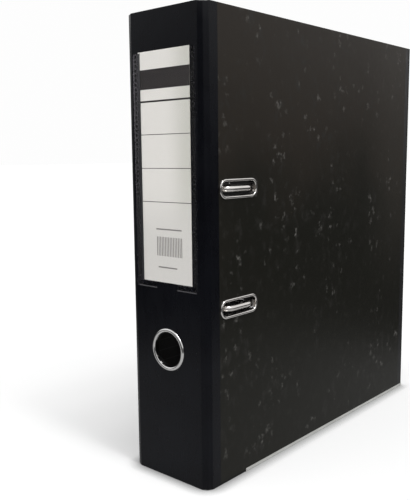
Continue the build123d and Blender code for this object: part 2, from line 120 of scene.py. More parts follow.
class Wire:
    """One output of a node: + - * / % > < & | and abs add the Math node that does them."""

    def __init__(self, net, socket):
        self.net = net
        self.socket = socket

    def math(self, operation, first, second):
        return self.net.node("ShaderNodeMath", {"operation": operation}, {0: first, 1: second})

    def __add__(self, other):
        return self.math("ADD", self, other)

    def __sub__(self, other):
        return self.math("SUBTRACT", self, other)

    def __rsub__(self, other):
        return self.math("SUBTRACT", other, self)

    def __mul__(self, other):
        return self.math("MULTIPLY", self, other)

    def __truediv__(self, other):
        return self.math("DIVIDE", self, other)

    def __gt__(self, other):
        return self.math("GREATER_THAN", self, other)

    def __lt__(self, other):
        return self.math("LESS_THAN", self, other)

    def __mod__(self, other):
        return self.math("FLOORED_MODULO", self, other)

    def __abs__(self):
        return self.math("ABSOLUTE", self, 0.0)

    def __and__(self, other):
        return self.math("MINIMUM", self, other)

    def __or__(self, other):
        return self.math("MAXIMUM", self, other)

    __radd__ = __add__
    __rmul__ = __mul__


# %% A net of nodes


class Net:
    """A net of nodes, of a material or of the world."""

    def __init__(self, tree):
        self.tree = tree

    def node(self, kind, settings, inputs, output=0):
        """Add a node: its settings first, then values or wires on its sockets."""
        made = self.tree.nodes.new(kind)
        for key, value in settings.items():
            setattr(made, key, value)
        for key, value in inputs.items():
            self.plug(made.inputs[key], value)
        return Wire(self, made.outputs[output])

    def plug(self, socket, value):
        if isinstance(value, Wire):
            self.tree.links.new(value.socket, socket)
        else:
            socket.default_value = value

    def split(self, vector):
        """The vector's x, y and z, as three wires."""
        return [self.node("ShaderNodeSeparateXYZ", {}, {0: vector}, axis) for axis in range(3)]

    def step(self, value, low, high):
        """0 under low, 1 over high, and a soft step between."""
        settings = {"interpolation_type": "SMOOTHSTEP"}
        inputs = {0: value, 1: low, 2: high, 3: 0.0, 4: 1.0}
        return self.node("ShaderNodeMapRange", settings, inputs)

    def mix(self, share, first, second):
        """Colour from first to second."""
        return self.node("ShaderNodeMix", {"data_type": "RGBA"}, {0: share, 6: first, 7: second}, 2)

    def seen_by(self, *rays):
        """1 where such a ray asks, and 0 for the rest."""
        asked = [self.node("ShaderNodeLightPath", {}, {}, ray) for ray in rays]
        total = asked[0]
        for one in asked[1:]:
            total = total | one
        return total


# %% A finish, and the few patterns that finishes share
SPECK_LEAST = 0.35              # the narrowest speck's width, against the widest


class Finish(Net):
    """A material being mixed, around one Principled shader."""

    def __init__(self, name, constants):
        self.material = bpy.data.materials.new(name)
        self.material.use_nodes = True
        super().__init__(self.material.node_tree)
        self.shader = self.tree.nodes["Principled BSDF"]
        for socket, value in constants.items():
            self.shader.inputs[socket].default_value = value

    def set(self, socket, value):
        self.plug(self.shader.inputs[socket], value)

    def spot(self):
        """Where the point is on the piece, as one vector."""
        return self.node("ShaderNodeTexCoord", {}, {}, "Object")

    def place(self):
        """Where the point is on the piece: x, y and z in metres, as three wires."""
        return self.split(self.spot())

    def noise(self, size, detail=2.0, stretch=(1, 1, 1), rough=0.5, twist=0.0, shift=(0, 0, 0)):
        """Cloudy noise from 0 to 1 whose blotches are about size metres across."""
        mapping = {"Vector": self.spot(), "Location": shift, "Scale": stretch}
        inputs = {
            "Vector": self.node("ShaderNodeMapping", {}, mapping),
            "Scale": 1 / size,
            "Detail": detail,
            "Roughness": rough,
            "Distortion": twist,
        }
        return self.node("ShaderNodeTexNoise", {}, inputs)

    def cells(self, size):
        """Cell pattern: how far the point is from its cell's middle."""
        return self.node("ShaderNodeTexVoronoi", {}, {"Vector": self.spot(), "Scale": 1 / size})

    def specks(self, size, reach, stretch):
        """Scattered ragged specks: one in each cell of that size, of chance strength and width.

        The widest reaches that share of its cell. A noise drags them about by up to half a cell.
        """
        spot = self.spot()
        shape = {"Vector": spot, "Scale": 3 / size, "Detail": 4.0}
        drift = self.node("ShaderNodeTexNoise", {}, shape, "Color")
        centred = {0: drift, 1: (0.5, 0.5, 0.5)}
        drift = self.node("ShaderNodeVectorMath", {"operation": "SUBTRACT"}, centred)
        drift = self.node("ShaderNodeVectorMath", {"operation": "SCALE"}, {0: drift, "Scale": size})
        spot = self.node("ShaderNodeVectorMath", {"operation": "ADD"}, {0: spot, 1: drift})
        spot = self.node("ShaderNodeMapping", {}, {"Vector": spot, "Scale": stretch})
        inputs = {"Vector": spot, "Scale": 1 / size}
        away = self.node("ShaderNodeTexVoronoi", {}, inputs, "Distance")
        chance = self.node("ShaderNodeTexVoronoi", {}, inputs, "Color")
        chance = self.node("ShaderNodeSeparateColor", {}, {0: chance})
        width = reach * (SPECK_LEAST + (1 - SPECK_LEAST) * chance)
        return self.step(1 - away / width, 0.0, 0.9) * chance * chance

    def relief(self, height, depth, under=None):
        """Bumps: height from 0 to 1 stands for depth metres, on top of the bumps under."""
        inputs = {"Height": height, "Distance": depth, "Strength": 1.0}
        if under is not None:
            inputs["Normal"] = under
        return self.node("ShaderNodeBump", {}, inputs)


print("finishes are mixed with", [name for name in vars(Finish) if name[0] != "_"])

# %% Colours


def tone(red, green, blue):
    return (red, green, blue, 1.0)


def grey(level):
    return tone(level, level, level)


# %% [markdown]
# ## Foil on the spine
#
# The spine and the strip where it turns on to each cover are wrapped in plastic foil over paper.
# It is nearly black, smoother than the covers, and it has a fine pebbled grain that shows only
# where light skims it. Black plastic still mirrors a white room, so its shine is kept low and
# broken up by the grain. A wide slack in the foil makes what it mirrors wander a little, and
# handling has rubbed it paler in upright streaks.

# %% Foil
FOIL_BLACK = tone(0.0016, 0.0018, 0.0034)
FOIL_WORN = tone(0.0028, 0.0032, 0.0052)
PEBBLE = 0.55 * MM
PEBBLE_DEPTH = 0.018 * MM
SLACK_DEPTH = 0.35 * MM


def mix_foil():
    foil = Finish("spine_foil", {"Specular IOR Level": 0.15})
    cloudy = foil.noise(45 * MM, detail=3.0)
    rubbed = foil.noise(6 * MM, detail=4.0, stretch=(1, 1, 0.35), rough=0.6)
    wear = foil.step(cloudy * 0.7 + rubbed * 0.3, 0.4, 0.65)
    foil.set("Base Color", foil.mix(wear, FOIL_BLACK, FOIL_WORN))
    foil.set("Roughness", 0.21 + 0.14 * rubbed)
    slack = foil.relief(foil.noise(50 * MM, detail=1.0), SLACK_DEPTH)
    foil.set("Normal", foil.relief(foil.cells(PEBBLE), PEBBLE_DEPTH, slack))
    return foil.material


# %% [markdown]
# ## Cloud paper on the covers
#
# The covers wear the classic mottled paper of office files: black printed so that the grey sheet
# under it breaks through in wisps. Its ground drifts between brown-black and green-black, with
# painted light making it browner and paler towards the top; a painted sheen lightens the upper
# corner at the free edge, and a finer smoke lies over it. Along the free edge the paper lies double
# and is creased, and a painted shade runs round the free edge and the foot as a dark line.
#
# The pale specks are scattered by a cell pattern, one to a cell, each with its own strength and
# width; a noise drags them into ragged upright shapes, and a wide one thins them out, so that they
# stand in loose groups.

# %% The paper's ground
PAPER_BROWN_LIT = tone(0.0188, 0.0150, 0.0114)
PAPER_GREEN = tone(0.0082, 0.0080, 0.0058)
LIT_BROWN_FROM = 163 * MM           # painted light: browner and paler towards the top
LIT_BROWN_OVER = 260 * MM
# A painted sheen: the paler colour mixed into the upper corner at the free edge.
PAINTED_SHEEN = tone(0.0360, 0.0315, 0.0265)
PAINTED_SHEEN_ACROSS = (50 * MM, 125 * MM)
PAINTED_SHEEN_UP = (80 * MM, 210 * MM)
PAINTED_SHEEN_SHARE = 0.42
SMOKE = tone(0.0210, 0.0200, 0.0180)


def paper_ground(paper, y, z, groups):
    """The dark ground, smokier where the specks stand in groups."""
    # painted light: the ground turns browner and paler with height, on top of a random drift
    drift = paper.noise(110 * MM) + (z - LIT_BROWN_FROM) / LIT_BROWN_OVER
    ground = paper.mix(paper.step(drift, 0.42, 0.9), PAPER_GREEN, PAPER_BROWN_LIT)
    # painted sheen over the upper corner at the free edge
    top_sheen = paper.step(y, *PAINTED_SHEEN_ACROSS) * paper.step(z, *PAINTED_SHEEN_UP)
    ground = paper.mix(top_sheen * PAINTED_SHEEN_SHARE, ground, PAINTED_SHEEN)
    smoke = paper.noise(7 * MM, detail=4.0, stretch=(1, 1, 0.7), rough=0.6, twist=0.4)
    smoke = paper.step(smoke, 0.50, 0.72)
    return paper.mix(smoke * (0.2 + 0.5 * groups), ground, SMOKE)


# %% The paper's edges
PAPER_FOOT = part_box("front_cover_paper")[0].z
FREE_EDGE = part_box("front_cover_paper")[1].y
TURN_IN = 7.5 * MM              # the strip along the free edge where the paper lies double
TURN_CREASES = (6.6 * MM, 3.9 * MM)
CREASE_HALF = 0.9 * MM
CREASED_UP = (170 * MM, 260 * MM)
EDGE_SHADE_WIDTH = 1.8 * MM              # painted shade, a dark line along the free edge and the foot
EDGE_GREY = tone(0.0165, 0.0165, 0.0176)
CREASE_GREY = tone(0.0560, 0.0560, 0.0590)
EDGE_SHADE = tone(0.0020, 0.0020, 0.0022)


def paper_edges(paper, ground, y, z):
    """The doubled strip, its two creases, and a dark line of painted shade round it."""
    inwards = FREE_EDGE - y
    ground = paper.mix((inwards < TURN_IN) * 0.8, ground, EDGE_GREY)
    crease = abs(inwards - TURN_CREASES[0]) & abs(inwards - TURN_CREASES[1])
    crease = paper.step(CREASE_HALF - crease, 0.0, CREASE_HALF) * paper.step(z, *CREASED_UP)
    ground = paper.mix(crease * 0.8, ground, CREASE_GREY)
    # painted shade: a dark line along the free edge and the foot
    edge_shade = (inwards < EDGE_SHADE_WIDTH) | (z - PAPER_FOOT < EDGE_SHADE_WIDTH)
    return paper.mix(edge_shade * 0.75, ground, EDGE_SHADE)


# %% Cloud paper
SPECK = tone(0.165, 0.160, 0.150)
GROUPS_AT = (0.3, 0.1, 0.7)     # where in its noise the pattern of groups begins


def mix_cloud_paper():
    paper = Finish("cloud_paper", {"Specular IOR Level": 0.15})
    _, y, z = paper.place()
    groups = paper.noise(34 * MM, detail=1.0, stretch=(1, 1, 0.6), shift=GROUPS_AT)
    groups = paper.step(groups, 0.45, 0.60)
    ground = paper_edges(paper, paper_ground(paper, y, z, groups), y, z)
    wide = paper.specks(13 * MM, reach=0.30, stretch=(1, 1, 0.8))
    small = paper.specks(7 * MM, reach=0.34, stretch=(1, 1, 0.85))
    grains = paper.step(paper.noise(1.4 * MM), 0.3, 0.7)
    flecks = (wide * 0.95 | small * 0.45) * (0.1 + 0.9 * groups) * (0.4 + 0.6 * grains)
    paper.set("Base Color", paper.mix(flecks, ground, SPECK))
    paper.set("Roughness", 0.30 + 0.14 * paper.noise(4 * MM, detail=3.0))
    pulp = paper.relief(paper.noise(20 * MM, detail=1.0), 0.12 * MM)
    fibres = paper.noise(0.45 * MM, detail=3.0, stretch=(1, 1, 0.6))
    paper.set("Normal", paper.relief(fibres, 0.02 * MM, pulp))
    return paper.material


# %% [markdown]
# ## Board and lining
#
# Under the skins is grey board, and inside the file a plain dark paper is pasted over it. The
# lining has thin ruled lines, as the inside of such files often has for a list of contents.

# %% Board and lining
BOARD_GREY = tone(0.36, 0.34, 0.31)
BOARD_DARK = tone(0.24, 0.23, 0.21)
LINING = tone(0.045, 0.044, 0.044)
LINING_PULP = tone(0.062, 0.061, 0.060)
LINING_RULE = grey(0.13)
RULE_PITCH = 8 * MM
RULE_WIDTH = 0.35 * MM
COLUMN_PITCH = 62 * MM


def mix_board():
    board = Finish("grey_board", {"Roughness": 0.92})
    chips = board.noise(1.2 * MM, detail=4.0, stretch=(1, 0.4, 1), rough=0.7)
    board.set("Base Color", board.mix(board.step(chips, 0.35, 0.7), BOARD_DARK, BOARD_GREY))
    board.set("Normal", board.relief(chips, 0.06 * MM))
    return board.material


def mix_lining():
    lining = Finish("lining_paper", {"Specular IOR Level": 0.2})
    _, y, z = lining.place()
    rules = ((z % RULE_PITCH) < RULE_WIDTH) | ((y % COLUMN_PITCH) < RULE_WIDTH)
    pulp = lining.noise(2.2 * MM, detail=4.0, rough=0.6)
    paper = lining.mix(pulp * 0.5, LINING, LINING_PULP)
    lining.set("Base Color", lining.mix(rules * 0.6, paper, LINING_RULE))
    lining.set("Roughness", 0.72 + 0.15 * pulp)
    lining.set("Normal", lining.relief(lining.noise(0.6 * MM, detail=3.0), 0.02 * MM))
    return lining.material


# %% [markdown]
# ## Metals
#
# Four platings are at work. Eyelets, posts and the wire are chromed: almost a mirror, with
# hair-fine wiping marks. Lever, compressor and rivets are nickelled: warmer and softer. Pins,
# roller, clips and base plate are zinc plated, whose grey has faint patches. The edge rails are a
# matt galvanised strip, which takes light from all round. One recipe makes all four.
#
# The finger ring is chromed too, but dull inside, and painted dark there as shade in the hole, so
# it has a recipe of its own that changes behind its rim.

# %% Metals
WIPING_SIZE = 0.9 * MM
WIPING_DEPTH = 0.006 * MM


def mix_metal(name, bright, dull, shine, patch_size, marks, metallic=1.0):
    """Plated steel: patches between two tones, and marks along the piece that roughen it."""
    metal = Finish(name, {"Metallic": metallic})
    patches = metal.noise(patch_size)
    wiping = metal.noise(WIPING_SIZE, detail=3.0, stretch=marks, rough=0.65)
    metal.set("Base Color", metal.mix(metal.step(patches, 0.35, 0.7), dull, bright))
    metal.set("Roughness", shine + 0.10 * wiping + 0.05 * patches)
    metal.set("Normal", metal.relief(wiping, WIPING_DEPTH))
    return metal.material


def mix_chrome():
    bright, dull = tone(0.78, 0.755, 0.73), tone(0.68, 0.655, 0.63)
    return mix_metal("chrome", bright, dull, shine=0.07, patch_size=20 * MM, marks=(1, 0.15, 1))


def mix_nickel():
    bright, dull = tone(0.70, 0.69, 0.66), tone(0.60, 0.59, 0.56)
    return mix_metal("nickel", bright, dull, shine=0.17, patch_size=15 * MM, marks=(1, 0.12, 1))


def mix_zinc():
    bright, dull = tone(0.64, 0.65, 0.67), tone(0.50, 0.51, 0.54)
    return mix_metal("zinc_steel", bright, dull, shine=0.27, patch_size=5 * MM, marks=(1, 0.3, 0.3))


def mix_rail():
    bright, dull = tone(0.66, 0.66, 0.64), tone(0.56, 0.56, 0.54)
    return mix_metal("rail_steel", bright, dull, 0.3, 20 * MM, marks=(1, 0.1, 1), metallic=0.35)


# %% The finger ring's chrome
RING_RIM = 1.6 * MM
RING_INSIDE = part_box("finger_ring")[0].y + RING_RIM
RING_BRIGHT = tone(0.76, 0.755, 0.75)
RING_DULL = tone(0.66, 0.655, 0.65)
# Painted shade: the ring's inside, behind its rim, is coloured dark.
RING_SHADE = grey(0.030)


def mix_ring():
    ring = Finish("ring_chrome", {"Metallic": 1.0})
    _, y, _ = ring.place()
    inside = y > RING_INSIDE
    wiping = ring.noise(WIPING_SIZE, detail=3.0, stretch=(1, 0.15, 1), rough=0.65)
    rim = ring.mix(wiping, RING_DULL, RING_BRIGHT)
    # painted shade inside the ring, behind its rim
    ring.set("Base Color", ring.mix(inside, rim, RING_SHADE))
    ring.set("Roughness", 0.07 + 0.10 * wiping + 0.35 * inside)
    ring.set("Normal", ring.relief(wiping, WIPING_DEPTH))
    return ring.material


# %% [markdown]
# ## The card
#
# The white card is printed with one dark band near its top, a heavy rule and three thin ones to
# write on. The small print further down is only suggested, by short thin rules and an even row of
# ticks. All of it lies at a height on the card, so plain comparisons of z draw it sharp at any
# distance, where a picture would blur. Painted shade greys the card towards its upper right and
# towards its foot.

# %% The card's paper
CARD_WHITE = tone(0.80, 0.78, 0.74)
CARD_PULP = tone(0.72, 0.70, 0.66)
CARD_RIGHT_SHADE = tone(0.605, 0.600, 0.545)
CARD_FOOT_SHADE = tone(0.665, 0.650, 0.620)
RIGHT_SHADE_UP = (100 * MM, 220 * MM)
FOOT_SHADE_UP = (160 * MM, 210 * MM)
card_low, card_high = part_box("label_card")


def card_paper(card, pulp, x, z):
    """White card, greyed by painted shade towards its upper right and towards its foot."""
    paper = card.mix(pulp * 0.35, CARD_WHITE, CARD_PULP)
    # painted shade towards the card's upper right
    right_shade = card.step(x, 0.0, card_high.x) * card.step(z, *RIGHT_SHADE_UP)
    paper = card.mix(right_shade, paper, CARD_RIGHT_SHADE)
    # painted shade towards the card's foot
    return card.mix(1 - card.step(z, *FOOT_SHADE_UP), paper, CARD_FOOT_SHADE)


# %% The card's print
INK = tone(0.020, 0.017, 0.015)
SMALL_PRINT = tone(0.20, 0.19, 0.18)
BAND = (267.1 * MM, 280.0 * MM)
HEAVY_RULE = (258.6 * MM, 259.8 * MM)
THIN_RULES = [237.5 * MM, 215.2 * MM, 192.8 * MM]
THIN_RULE_HALF = 0.22 * MM
NOTE_RULES = [(174.6 * MM, -9 * MM, 14.5 * MM), (148.8 * MM, -7.5 * MM, 10 * MM)]   # z, and x to x
NOTE_RULE_HALF = 0.45 * MM
TICKS_UP = (156.5 * MM, 169.5 * MM)
TICKS_ACROSS = (-8.5 * MM, 15.5 * MM)
TICK_PITCH = 1.5 * MM
TICK_WIDTH = 0.75 * MM


def between(value, ends):
    return (value > ends[0]) & (value < ends[1])


def mix_card():
    card = Finish("white_card", {"Roughness": 0.6, "Specular IOR Level": 0.25})
    x, y, z = card.place()
    pulp = card.noise(1.6 * MM, detail=4.0, rough=0.6)
    ink = between(z, BAND) | between(z, HEAVY_RULE)
    for height in THIN_RULES:
        ink = ink | (abs(z - height) < THIN_RULE_HALF)
    faint = between(z, TICKS_UP) & between(x, TICKS_ACROSS)
    faint = faint & (((x - TICKS_ACROSS[0]) % TICK_PITCH) < TICK_WIDTH)
    for height, *ends in NOTE_RULES:
        faint = faint | ((abs(z - height) < NOTE_RULE_HALF) & between(x, ends))
    printed_side = y < (card_low.y + card_high.y) / 2
    paper = card.mix(faint & printed_side, card_paper(card, pulp, x, z), SMALL_PRINT)
    card.set("Base Color", card.mix(ink & printed_side, paper, INK))
    card.set("Normal", card.relief(pulp, 0.015 * MM))
    return card.material


# %% [markdown]
# ## The clear pocket
#
# The pocket is clear film that slopes down beside the card and is welded to the spine. Over the
# card it adds a shine and a trace of haze. Left of the card its slope catches no light and reads as
# a dark band, and below the card it is milky, with a paler line where the tool cut it.
#
# The flat strips beside the card, the weld spots on them and the beads at the foot are pieces of
# their own, made further on. Where they lie, the pocket's film is fully clear. Strips turn a little
# milky between the spots, and towards the top left a painted reflection makes them and the spots'
# rims paler. A spot has a rim of pressed film round a dish pressed so thin that the black foil shows in
# it.

# %% Sizes of the pocket's welds
FILM_T = 0.2 * MM
CARD_PLAY = 0.06 * MM           # the card's play in the pocket, on each side
CUT_EDGE = 0.8 * MM             # the pale line where the hot tool cut the film
SPOT_PITCH = 3.05 * MM          # one weld spot to the next
SPOT_RADIUS = 0.78 * MM         # to the middle of its pressed ring
SPOT_RING = 0.56 * MM           # half the ring's width
DISH = 0.98 * MM                # the dark, clear middle of the spot
STRIP_HALF = 28.3 * MM          # the weld strips' outer edges, from the middle of the spine
SHOULDER = -21.6 * MM           # left of it the film is drawn down beside the card
pocket_low, pocket_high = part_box("label_pocket")
pocket_half = card_high.x + FILM_T + CARD_PLAY
tray_foot = card_low.z - FILM_T - CARD_PLAY
spot_column = (pocket_half + STRIP_HALF) / 2
spot_start = tray_foot + SPOT_PITCH / 2
print("weld spots stand", round(spot_column / MM, 2), "mm either side of the middle")

# %% The pocket's film
FILM_MILKY = tone(0.27, 0.25, 0.28)
# Painted shade: the film's slope left of the card is coloured dark and nearly opaque.
FILM_SHADE = tone(0.030, 0.030, 0.033)
WINDOW_HAZE = 0.025             # how much the film hides over the card
SHOULDER_HIDES = 0.97


def mix_film():
    film = Finish("clear_film", {"Specular IOR Level": 0.6})
    x, _, z = film.place()
    foot = z < tray_foot
    beside = abs(x) > pocket_half
    shoulder = (x < SHOULDER) * (1 - beside) * (1 - foot)
    cut = abs(z - tray_foot) < CUT_EDGE / 2
    milk = 0.004 + 0.008 * film.noise(4 * MM, detail=3.0) + 0.16 * cut
    veil = (1 - beside) * (WINDOW_HAZE * (1 - foot) + foot * milk)
    # painted shade on the slope left of the card
    film.set("Base Color", film.mix(shoulder, FILM_MILKY, FILM_SHADE))
    film.set("Alpha", veil | shoulder * SHOULDER_HIDES)
    film.set("Roughness", 0.16 + 0.22 * foot)
    film.set("Normal", film.relief(film.noise(30 * MM, detail=1.0), 0.25 * MM))
    return film.material


# %% The strips' film
STRIP_SHEEN_UP = (150 * MM, 270 * MM)     # painted reflection: the left strip turns paler between these heights


def mix_strip():
    strip = Finish("strip_film", {"Base Color": FILM_MILKY, "Specular IOR Level": 0.5})
    x, _, z = strip.place()
    across = abs(x) - spot_column
    up = (z - spot_start + SPOT_PITCH / 2) % SPOT_PITCH - SPOT_PITCH / 2
    clear = (across * across + up * up) < DISH**2
    cut = abs(x) > STRIP_HALF - CUT_EDGE
    haze = strip.noise(4 * MM, detail=3.0)
    # painted reflection: the left strip turns paler towards the top
    strip_left_sheen = (x < 0.0) * (0.02 + 0.11 * strip.step(z, *STRIP_SHEEN_UP)) * (1 + cut)
    milk = 0.008 + 0.012 * haze + strip_left_sheen
    strip.set("Alpha", 0.002 + (1 - clear) * milk)
    strip.set("Roughness", 0.35 + 0.2 * haze)
    return strip.material


# %% The spots' film, and the beads'
RIM_DARK = tone(0.012, 0.012, 0.013)
RIM_GREY = tone(0.034, 0.033, 0.037)
RIM_SHEEN = tone(0.120, 0.117, 0.128)
RIM_SHEEN_UP = (130 * MM, 250 * MM)      # painted reflection: the left row of rims turns paler between these heights
DISH_DARK = tone(0.0012, 0.0012, 0.0014)
DISH_GREY = tone(0.0040, 0.0040, 0.0044)
BEAD_DARK = tone(0.036, 0.035, 0.039)
BEAD_PALE = tone(0.064, 0.062, 0.068)


def mix_rim():
    """The pressed rim of a weld spot."""
    rim = Finish("pressed_film", {"Specular IOR Level": 0.5})
    x, _, z = rim.place()
    haze = rim.noise(1.2 * MM, detail=3.0)
    # painted reflection: the left row of rims turns paler towards the top
    rim_left_sheen = (x < 0.0) * (0.15 + 0.75 * rim.step(z, *RIM_SHEEN_UP))
    rim.set("Base Color", rim.mix(rim_left_sheen, rim.mix(haze, RIM_DARK, RIM_GREY), RIM_SHEEN))
    rim.set("Roughness", 0.3 + 0.2 * haze)
    rim.set("Alpha", 0.55 + 0.4 * rim.noise(6 * MM))
    return rim.material


def mix_dish():
    """The clear middle of a spot, as dark as the foil behind it."""
    dish = Finish("dish_film", {"Specular IOR Level": 0.2})
    haze = dish.noise(0.8 * MM)
    dish.set("Base Color", dish.mix(haze, DISH_DARK, DISH_GREY))
    dish.set("Roughness", 0.25 + 0.2 * haze)
    return dish.material


def mix_bead():
    """Film that has run into a bead: whole, milky and a little dusty."""
    bead = Finish("bead_film", {"Specular IOR Level": 0.5})
    haze = bead.noise(2 * MM, detail=3.0)
    bead.set("Base Color", bead.mix(haze, BEAD_DARK, BEAD_PALE))
    bead.set("Roughness", 0.35 + 0.2 * haze)
    return bead.material


# %% [markdown]
# ## Dressing the solids
#
# Each solid knows which finish it wears, because the record lists a material slot for it. One loop
# hands the finishes out, so a new solid is dressed as soon as it is in the frame. The finger ring
# and the edge rails then get the finer finishes that were mixed for them alone.

# %% Hand the finishes out
finishes = {
    "grey_board": mix_board(),
    "cloud_paper": mix_cloud_paper(),
    "spine_foil": mix_foil(),
    "lining_paper": mix_lining(),
    "nickel": mix_nickel(),
    "chrome": mix_chrome(),
    "zinc_steel": mix_zinc(),
    "clear_film": mix_film(),
    "white_card": mix_card(),
    "ring_chrome": mix_ring(),
    "rail_steel": mix_rail(),
}
slot_of = {part["node"]: part["material_slot"] for part in frame["record"]["subparts"]}
own = {"finger_ring": "ring_chrome", "front_edge_rail": "rail_steel", "back_edge_rail": "rail_steel"}
for name, node in frame["nodes"].items():
    for slot in node.material_slots:
        slot.material = finishes[own.get(name, slot_of[name])]
print(len(frame["nodes"]), "solids wear", len(finishes), "finishes")

# %% [markdown]
# ## Choosing by place
#
# In edit mode an operator acts on whatever is selected. By hand one clicks; in code one asks where
# things are. This helper selects every corner, edge or face whose middle passes a test.

# %% Select by place
HAIR = 0.01 * MM                # two places closer than this are the same


def pick(piece, kind, test):
    """Select in edit mode the verts, edges or faces whose middle passes the test."""
    mode = {"verts": "VERT", "edges": "EDGE", "faces": "FACE"}[kind]
    bpy.ops.mesh.select_mode(type=mode)
    bpy.ops.mesh.select_all(action="DESELECT")
    mesh = bmesh.from_edit_mesh(piece.data)
    for element in getattr(mesh, kind):
        corners = [element] if kind == "verts" else element.verts
        middle = sum((corner.co for corner in corners), Vector()) / len(corners)
        if test(middle):
            element.select_set(True)
    mesh.select_flush_mode()
    bmesh.update_edit_mesh(piece.data)


def settle():
    """Put the new piece's place, turn and size into its mesh."""
    bpy.ops.object.transform_apply(location=True, rotation=True, scale=True)


# %% [markdown]
# ## The two folds
#
# Between the spine board and each cover board there is no board at all, only foil outside and
# lining inside, glued back to back. Closed, that strip rounds the file's corner; open, it lies
# nearly flat. A solid can't do both, so each fold is made here as one skin, in its closed shape. It
# starts as one narrow upright face at the edge of the spine board, whose far edge is spun a quarter
# turn round the fold's axis. The ends are then pulled in a little, as glued cloth does, the groove
# beside each board is pressed in, and the skin gets its thickness.

# %% Draw in a fold's ends and press its grooves
FOLD_STEPS = 14
END_DIP = 0.5 * MM              # how far the middle of each end draws in
GROOVE = 0.35 * MM


def fold_column(angle, axis, radius, side):
    """A test for the corners that stand at that angle round the fold."""
    spot = Vector((axis.x + side * radius * sin(angle), axis.y - radius * cos(angle)))
    return lambda point: (point.xy - spot).length < radius / FOLD_STEPS / 3


def press_fold(fold, axis, radius, side, bottom, top):
    """Column by column: the two ends drawn in, and a groove beside each board."""
    for step in range(1, FOLD_STEPS):
        angle = step / FOLD_STEPS * pi / 2
        on_column = fold_column(angle, axis, radius, side)
        draw = END_DIP * sin(2 * angle) ** 0.7
        for end, pull in ((top, -draw), (bottom, draw)):
            pick(fold, "verts", lambda spot: on_column(spot) and abs(spot.z - end) < MM)
            bpy.ops.transform.translate(value=(0, 0, pull))
        press = GROOVE * sin(4 * angle) ** 2
        pick(fold, "verts", on_column)
        inward = Vector((-side * sin(angle), cos(angle), 0)) * press
        bpy.ops.transform.translate(value=inward)


# %% Give a fold its thickness
FOLD_T = 0.6 * MM
FOLD_ROUNDING = 0.12 * MM


def thicken(fold, axis):
    """Close the skin, turn its faces outwards, and give it foil outside and lining inside."""
    pick(fold, "faces", lambda spot: True)
    bpy.ops.mesh.remove_doubles(threshold=HAIR)
    bpy.ops.mesh.normals_make_consistent(inside=False)
    mesh = bmesh.from_edit_mesh(fold.data)
    face = next(iter(mesh.faces))
    outwards = Vector((*(face.calc_center_median().xy - axis), 0))
    if face.normal.dot(outwards) < 0:
        bpy.ops.mesh.flip_normals()
    bpy.ops.object.mode_set(mode="OBJECT")
    fold.data.materials.append(finishes["spine_foil"])
    fold.data.materials.append(finishes["lining_paper"])
    skin = fold.modifiers.new("skin", "SOLIDIFY")
    skin.thickness = FOLD_T
    skin.offset = -1
    skin.material_offset = 1
    bpy.ops.object.modifier_apply(modifier="skin")
    rounding = fold.modifiers.new("rounding", "BEVEL")
    rounding.width = FOLD_ROUNDING
    rounding.segments = 2
    rounding.limit_method = "ANGLE"
    rounding.angle_limit = radians(60)
    bpy.ops.object.modifier_apply(modifier="rounding")
    bpy.ops.object.shade_smooth_by_angle(angle=radians(50))


# %% One fold
FOLD_ROWS = 24
START_WIDTH = 1 * MM


def make_fold(node, name, side):
    """The fold that stands in for a solid: side is 1 at the front cover and -1 at the back."""
    low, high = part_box(node)
    spine_low, spine_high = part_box("spine_cloth")
    bottom, top = spine_low.z, spine_high.z
    axis = Vector((low.x if side > 0 else high.x, high.y))
    radius = high.x - low.x

    # A narrow upright face just inside the spine board's edge.
    bpy.ops.object.select_all(action="DESELECT")
    start = (axis.x - side * START_WIDTH / 2, low.y, (bottom + top) / 2)
    bpy.ops.mesh.primitive_plane_add(size=1, location=start, rotation=(pi / 2, 0, 0))
    fold = bpy.context.object
    fold.name = name
    fold.scale = (START_WIDTH, top - bottom, 1)
    settle()

    # Rows along it, then its outer edge spun round the fold's axis.
    bpy.ops.object.mode_set(mode="EDIT")
    pick(fold, "edges", lambda spot: abs(spot.z - start[2]) < MM)
    bpy.ops.mesh.subdivide(number_cuts=FOLD_ROWS)
    pick(fold, "verts", lambda spot: abs(spot.x - axis.x) < START_WIDTH / 4)
    bpy.ops.mesh.spin(
        steps=FOLD_STEPS, angle=side * pi / 2, center=(axis.x, axis.y, 0), axis=(0, 0, -1)
    )
    pick(fold, "faces", lambda spot: (axis.x - spot.x) * side > 0)
    bpy.ops.mesh.delete(type="FACE")
    press_fold(fold, axis, radius, side, bottom, top)
    thicken(fold, axis)

    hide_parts(node)
    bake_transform(fold)
    print(name, len(fold.data.polygons), "faces")


# %% Both folds
make_fold("front_hinge_cloth", "front_fold", 1)
make_fold("rear_hinge_cloth", "rear_fold", -1)

# %% [markdown]
# ## The pocket's welds
#
# The pocket is fixed by a hot tool with a row of round teeth. Each tooth leaves a clear dish with a
# raised rim of pressed film. One spot is a flattened torus, whose inner faces wear the dish's
# finish, and an Array modifier repeats it, so the spot is modelled once and laid in two rows, up
# both sides. The rows stand on two strips of film, a little wider than the pocket's own border:
# each is a thin plate with its outer corners rounded. At the foot the tool cut the film off and it
# ran into a bead, in two short runs with a gap between them: each is a flattened rod.

# %% One row of spots
SPOT_FLAT = 0.3
weld_y = pocket_high.y - FILM_T


